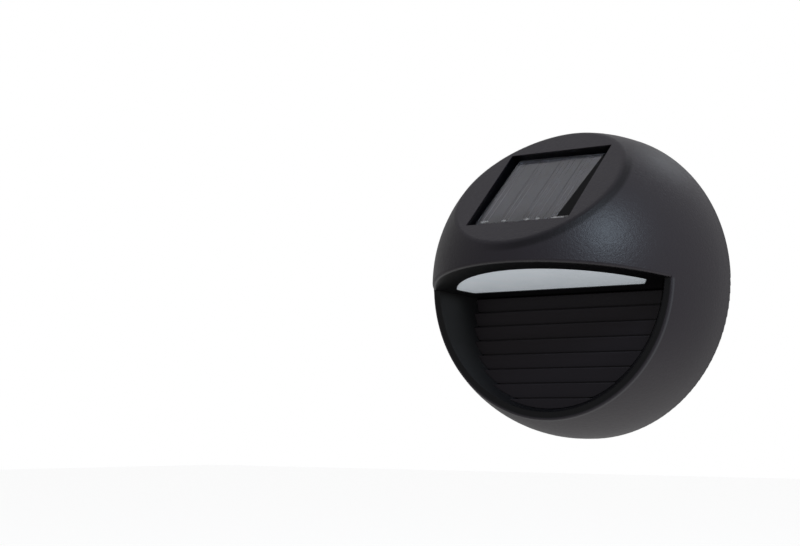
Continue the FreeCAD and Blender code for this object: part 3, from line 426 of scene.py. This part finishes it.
def boardFinish():
    # Green solder mask over copper tracks on a grid
    spec = dict(mask=(0.012, 0.08, 0.03), track=(0.03, 0.15, 0.05), rough=0.4, relief=0.03 * mm,
                acrossPitch=1.3 * mm, acrossEdge=span(0.55, 0.4), acrossWander=4 * mm,
                alongPitch=1.7 * mm, alongEdge=span(0.5, 0.35), alongWander=5 * mm,
                bend=6 * mm, area=7 * mm, areaEdge=(0.49, 0.51),
                weave=0.3 * mm, weaveRough=0.15, weaveHeight=0.2)
    made = Finish("solderMask", Coat_Weight=0.6, Coat_Roughness=0.2)
    x, y = made.axes()[:2]
    bend = made.noise(spec["bend"], 1.0)
    across = (x + bend * spec["acrossWander"]).wrap(spec["acrossPitch"])
    across = across.step(*spec["acrossEdge"])
    along = (y + bend * spec["alongWander"]).wrap(spec["alongPitch"]).step(*spec["alongEdge"])
    area = made.noise(spec["area"], 0.0).step(*spec["areaEdge"])
    tracks = across * (1 - area) + along * area
    weave = made.noise(spec["weave"], 2.0)
    made.set(
        Base_Color=made.mix(tracks, spec["mask"], spec["track"]),
        Roughness=spec["rough"] + (weave - 0.5) * spec["weaveRough"],
        Normal=made.bump(tracks + weave * spec["weaveHeight"], spec["relief"]),
    )
    return made.material


def windingFinish():
    # Enamelled wire in fine level turns
    spec = dict(dark=(0.55, 0.2, 0.07), bright=(0.72, 0.33, 0.14), wire=0.14 * mm, rough=0.32,
                cloud=1.5 * mm, cloudRough=0.12, relief=0.1 * mm)
    made = Finish("enamelledCopper", Metallic=1.0, Coat_Weight=0.5, Coat_Roughness=0.15)
    y, z = made.axes()[1:]
    rise = case["ceilingRise"]
    level = z * math.cos(rise) + y * math.sin(rise)
    turns = level.wrap(spec["wire"]) / spec["wire"]
    cloud = made.noise(spec["cloud"], 3.0)
    made.set(
        Base_Color=made.mix(cloud, spec["dark"], spec["bright"]),
        Roughness=spec["rough"] + (cloud - 0.5) * spec["cloudRough"],
        Normal=made.bump(turns, spec["relief"]),
    )
    return made.material


steelBrush = (1, 1, 0.15)
finishes = dict(
    front_housing=domeFinish(),
    reflector_panel=reflectorFinish(),
    diffuser_lens=diffuserFinish(),
    solar_cells=cellFinish(),
    circuit_board=boardFinish(),
    coil_winding=windingFinish(),
    panel_base=plasticFinish("panelLaminate", (0.1, 0.096, 0.106), 0.55, grain=0.5, dust=0.05,
                             Specular_IOR_Level=0.4),
    panel_seal=rubberFinish("darkSealant", (0.004, 0.004, 0.0045), Specular_IOR_Level=0.1),
    light_box=plasticFinish("whiteLightBox", (0.78, 0.78, 0.75), 0.55, dust=0.05),
    led_bodies=plasticFinish("ledCup", (0.82, 0.82, 0.78), 0.5, grain=0.2, dust=0.0),
    led_fills=plasticFinish("ledPhosphor", (0.85, 0.62, 0.06), 0.3, grain=0.12, dust=0.0),
    driver_chip=plasticFinish("chipEpoxy", (0.012, 0.012, 0.013), 0.5, grain=0.15),
    resistors=plasticFinish("resistorCoat", (0.015, 0.015, 0.018), 0.35, grain=0.2),
    switch_base=plasticFinish("switchBase", (0.02, 0.02, 0.02), 0.5, grain=0.25),
    coil_core=plasticFinish("greyFerrite", (0.045, 0.045, 0.05), 0.45, grain=0.25),
    chip_legs=metalFinish("tinnedLegs", (0.7, 0.71, 0.74), 0.25),
    switch_pins=metalFinish("tinnedPins", (0.7, 0.7, 0.68), 0.28),
    can_capacitor=metalFinish("drawnCan", (0.72, 0.73, 0.75), 0.25, steelBrush),
    battery_can=metalFinish("nickelCan", (0.66, 0.65, 0.63), 0.22, (0.1, 1, 1)),
    battery_sleeve=plasticFinish("greenSleeve", (0.03, 0.13, 0.06), 0.26, grain=1.2, dust=0.2),
    positive_contact=metalFinish("contactPlate", (0.68, 0.67, 0.63), 0.28),
    negative_contact=metalFinish("contactPlateToo", (0.66, 0.65, 0.62), 0.3),
    battery_spring=metalFinish("springWire", (0.7, 0.69, 0.66), 0.24),
    switch_cover=metalFinish("switchSteel", (0.62, 0.62, 0.63), 0.3, steelBrush),
    case_screws=metalFinish("zincScrew", (0.58, 0.58, 0.6), 0.3),
    door_screws=metalFinish("zincDoorScrew", (0.6, 0.6, 0.61), 0.32),
    reflector_screws=metalFinish("zincSmallScrew", (0.58, 0.58, 0.58), 0.34),
    board_screws=metalFinish("zincBoardScrew", (0.6, 0.59, 0.57), 0.3),
    case_gasket=rubberFinish("caseSeal", (0.02, 0.02, 0.021), 0.75),
    door_gasket=rubberFinish("doorSeal", (0.022, 0.022, 0.022), 0.75),
    solar_lead_red=rubberFinish("redLead", (0.42, 0.02, 0.015), 0.42),
    solar_lead_black=rubberFinish("blackLead", (0.02, 0.02, 0.02), 0.42),
    battery_lead_red=rubberFinish("redCellLead", (0.44, 0.022, 0.016), 0.42),
    battery_lead_black=rubberFinish("blackCellLead", (0.021, 0.021, 0.021), 0.42),
    switch_lead_feed=rubberFinish("redSwitchLead", (0.4, 0.02, 0.015), 0.42),
    switch_lead_return=rubberFinish("blackSwitchLead", (0.02, 0.02, 0.02), 0.42),
    back_plate=plasticFinish("backPlate", (0.017, 0.017, 0.018), 0.5, grain=0.5, depth=0.03),
    battery_door=plasticFinish("doorPlate", (0.018, 0.018, 0.019), 0.5, grain=0.5, depth=0.03),
    switch_knob=plasticFinish("knobNylon", (0.03, 0.03, 0.031), 0.42, grain=0.25),
)

for name, material in finishes.items():
    for slot in nodes[name].material_slots:
        slot.material = material
print("finishes made,", len(finishes))


# The panel's place in its window, and its own heights below its face
panel = dict(
    turn=math.radians(-2.0),
    rise=1.3 * mm,
    faceDepth=2.3 * mm,
    side=39.5 * mm,
    corner=1.2 * mm,
    cellTop=-0.5 * mm,
    baseTop=-0.8 * mm,
)


def panelPlace():
    # From the panel's own frame, its face at z = 0 and y up the slope, to the light's
    tilt = case["facetTilt"]
    normal = Vector((0, -math.cos(tilt), math.sin(tilt)))
    middle = case["centre"] + normal * case["facetDistance"]
    lean = Matrix.Rotation(math.pi / 2 - tilt, 4, "X")
    shift = Matrix.Translation((0, panel["rise"], -panel["faceDepth"]))
    return Matrix.Translation(middle) @ lean @ shift @ Matrix.Rotation(panel["turn"], 4, "Z")


def addPiece(shape, name, material, body, node):
    bmesh.ops.recalc_face_normals(shape, faces=shape.faces)
    mesh = bpy.data.meshes.new(name)
    shape.to_mesh(mesh)
    shape.free()
    piece = bpy.data.objects.new(name, mesh)
    bpy.context.scene.collection.objects.link(piece)
    mesh.materials.append(material)
    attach(piece, body)
    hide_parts(node)
    return piece


def makeCover():
    spec = dict(edge=0.22 * mm, sink=0.02 * mm, edgeSegments=3, cornerSegments=6,
                square=math.radians(60))
    shape = bmesh.new()
    low = panel["baseTop"] - spec["sink"]
    bmesh.ops.create_cube(shape, size=1.0)
    bmesh.ops.translate(shape, verts=shape.verts, vec=(0, 0, -0.5))
    bmesh.ops.scale(shape, verts=shape.verts, vec=(panel["side"], panel["side"], -low))
    uprights = [edge for edge in shape.edges
                if abs(edge.verts[0].co.z - edge.verts[1].co.z) > -low / 2]
    bmesh.ops.bevel(shape, geom=uprights, offset=panel["corner"], profile=0.5,
                    segments=spec["cornerSegments"], affect="EDGES", material=-1)
    rim = [edge for edge in shape.edges
           if edge.calc_face_angle(0) > spec["square"]
           and min(vert.co.z for vert in edge.verts) > low / 2]
    bmesh.ops.bevel(shape, geom=rim, offset=spec["edge"], profile=0.5,
                    segments=spec["edgeSegments"], affect="EDGES", material=-1)
    bmesh.ops.transform(shape, matrix=panelPlace(), verts=shape.verts)
    addPiece(shape, "panelFace", resinFinish(), "case", "panel_cover")


def addBusLine(shape, x, spec):
    # A flat wire laid along a cell, its upper edges rolled
    bar = bmesh.ops.create_cube(shape, size=1.0)["verts"]
    length = spec["top"] - spec["bottom"]
    bmesh.ops.scale(shape, verts=bar, vec=(spec["width"], length, spec["height"]))
    middle = (spec["top"] + spec["bottom"]) / 2
    base = panel["cellTop"] + spec["height"] / 2 - spec["bed"]
    bmesh.ops.translate(shape, verts=bar, vec=(x * mm, middle, base))
    ridges = {edge for vert in bar for edge in vert.link_edges
              if abs(edge.verts[0].co.y - edge.verts[1].co.y) > length / 2
              and edge.verts[0].co.z > base}
    bmesh.ops.bevel(shape, geom=list(ridges), offset=spec["height"] * spec["roll"], segments=2,
                    profile=0.5, affect="EDGES", material=-1)


def addSolder(shape, left, right, index, spec):
    # A run of solder along the foot of a cell, lumpy and thin
    lump = bmesh.ops.create_icosphere(shape, subdivisions=4, radius=1.0)["verts"]
    half = (right - left) / 2 * mm
    along, across, shift = spec["lumpWaves"]
    for vert in lump:
        wave = math.sin(along * vert.co.x + shift * index) * math.cos(across * vert.co.y)
        swell = 1 + spec["lumpiness"] * wave
        vert.co = (vert.co.x * half, vert.co.y * spec["solderReach"] * swell,
                   vert.co.z * spec["solderHeight"] * swell)
    place = ((left + right) / 2 * mm, spec["solderRow"], panel["cellTop"])
    bmesh.ops.translate(shape, verts=lump, vec=place)


def makeBusLines():
    spec = dict(
        lines=(-17.3, -15.2, -8.2, -6.1, 1.7, 3.8, 5.9, 11.3, 13.3),
        solders=((-18.1, -14.5), (-8.9, -6.9), (0.6, 3.2), (5.6, 7.8), (12.2, 18.0)),
        width=0.2 * mm, height=0.09 * mm, roll=0.6, bed=0.01 * mm,
        top=18.2 * mm, bottom=-18.6 * mm,
        solderRow=-18.05 * mm, solderReach=0.62 * mm, solderHeight=0.2 * mm,
        lumpiness=0.22, lumpWaves=(5.1, 3.3, 1.7),
    )
    shape = bmesh.new()
    for x in spec["lines"]:
        addBusLine(shape, x, spec)
    for index, (left, right) in enumerate(spec["solders"]):
        addSolder(shape, left, right, index, spec)
    bmesh.ops.transform(shape, matrix=panelPlace(), verts=shape.verts)
    lines = addPiece(shape, "cellBusLines", busFinish(), "case", "cell_ribbons")
    for face in lines.data.polygons:
        face.use_smooth = True


makeCover()
makeBusLines()
print("panel dressed")


def makeFloor():
    # Far enough below that the hung light throws no hard shadow; out of bounced light
    spec = dict(size=8.0, height=-0.2, colour=(0.9, 0.9, 0.9), lift=0.62)
    shape = bmesh.new()
    bmesh.ops.create_grid(shape, x_segments=4, y_segments=4, size=spec["size"] / 2)
    bmesh.ops.translate(shape, verts=shape.verts, vec=(0, 0, spec["height"]))
    mesh = bpy.data.meshes.new("paleFloor")
    shape.to_mesh(mesh)
    shape.free()
    floor = bpy.data.objects.new("paleFloor", mesh)
    bpy.context.scene.collection.objects.link(floor)
    made = Finish("paleFloor", Base_Color=spec["colour"], Roughness=0.9,
                  Emission_Color=(1, 1, 1), Emission_Strength=spec["lift"])
    mesh.materials.append(made.material)
    floor.visible_diffuse = False
    floor.visible_glossy = False


def makeWorld():
    # A white backdrop that only the camera sees, and a dim room, darkest in front on the left
    spec = dict(backdrop=1.0, dark=0.2, bright=0.5, below=0.42,
                toward=Vector((0.51, 0.86, 0.05)), down=(0, 0, -1),
                sweep=(-1.0, 0.85), pool=(0.4, 1.0))
    world = bpy.data.worlds.new("paleStudio")
    bpy.context.scene.world = world
    room = Finish("paleStudio", world, "Background", Color=(1, 1, 1))
    outward = room.node("ShaderNodeTexCoord")
    dot = dict(operation="DOT_PRODUCT")
    ahead = {0: outward, 1: spec["toward"].normalized()}
    facing = room.node("ShaderNodeVectorMath", dot, ahead, "Value")
    under = room.node("ShaderNodeVectorMath", dot, {0: outward, 1: spec["down"]}, "Value")
    level = spec["dark"] + facing.step(*spec["sweep"]) * (spec["bright"] - spec["dark"])
    level = level + under.step(*spec["pool"]) * spec["below"]
    seen = room.node("ShaderNodeLightPath")
    room.set(Strength=seen * spec["backdrop"] + (1 - seen) * level)


# The camera, fitted to the outlines, and two spots of its frame where the dome shines
cameraView = dict(
    place=Vector((0.30757, -0.52974, -0.05346)),
    forward=Vector((-0.598986, 0.795046, 0.095493)),
    roll=math.radians(0.252),
    lens=72.34,
    sensor=36.0,
    frame=(800, 546),
    shoulderGlint=(606, 232),
    rimGlint=(664, 166),
)


def cameraTurn():
    aim = cameraView["forward"].to_track_quat("-Z", "Y")
    return aim @ Quaternion((0, 0, 1), cameraView["roll"])


def domeMirror(pixel):
    # The point of the dome behind a pixel of the frame, and the direction it mirrors
    width, height = cameraView["frame"]
    reach = cameraView["lens"] / cameraView["sensor"] * width
    across = (pixel[0] - width / 2) / reach
    above = (height / 2 - pixel[1]) / reach
    ray = (cameraTurn() @ Vector((across, above, -1))).normalized()
    toCentre = case["centre"] - cameraView["place"]
    along = toCentre.dot(ray)
    miss = (toCentre - ray * along).length
    hit = cameraView["place"] + ray * (along - math.sqrt(case["radius"] ** 2 - miss ** 2))
    normal = (hit - case["centre"]).normalized()
    return hit, ray - 2 * ray.dot(normal) * normal


def panelMirror():
    # The middle of the solar panel, and the direction it mirrors
    place = panelPlace()
    hit = place.translation
    normal = (place.to_3x3() @ Vector((0, 0, 1))).normalized()
    ray = (hit - cameraView["place"]).normalized()
    return hit, ray - 2 * ray.dot(normal) * normal


def makeSoftbox(name, mirror, spec):
    # A soft lamp, placed so that its reflection lands on a chosen spot
    data = bpy.data.lights.new(name, "AREA")
    data.shape = "DISK"
    data.size = spec["size"]
    data.energy = spec["power"]
    data.color = spec["colour"]
    lamp = bpy.data.objects.new(name, data)
    bpy.context.scene.collection.objects.link(lamp)
    hit, direction = mirror
    lamp.location = hit + direction * spec["distance"]
    lamp.rotation_euler = (-direction).to_track_quat("-Z", "Y").to_euler()


def makeCamera():
    data = bpy.data.cameras.new("productCamera")
    data.sensor_width = cameraView["sensor"]
    data.lens = cameraView["lens"]
    data.clip_start = 0.01
    camera = bpy.data.objects.new("productCamera", data)
    bpy.context.scene.collection.objects.link(camera)
    camera.location = cameraView["place"]
    camera.rotation_mode = "QUATERNION"
    camera.rotation_quaternion = cameraTurn()
    bpy.context.scene.camera = camera


makeFloor()
makeWorld()
makeSoftbox("shoulderSoftbox", domeMirror(cameraView["shoulderGlint"]),
            dict(distance=1.2, size=0.36, power=5.4, colour=(0.68, 0.85, 1.0)))
makeSoftbox("rimSoftbox", domeMirror(cameraView["rimGlint"]),
            dict(distance=1.2, size=0.25, power=0.4, colour=(0.85, 0.93, 1.0)))
makeSoftbox("panelSoftbox", panelMirror(),
            dict(distance=1.2, size=0.5, power=0.15, colour=(0.96, 0.94, 1.0)))
makeCamera()
bpy.context.scene.view_settings.view_transform = "Standard"
print("stage set")
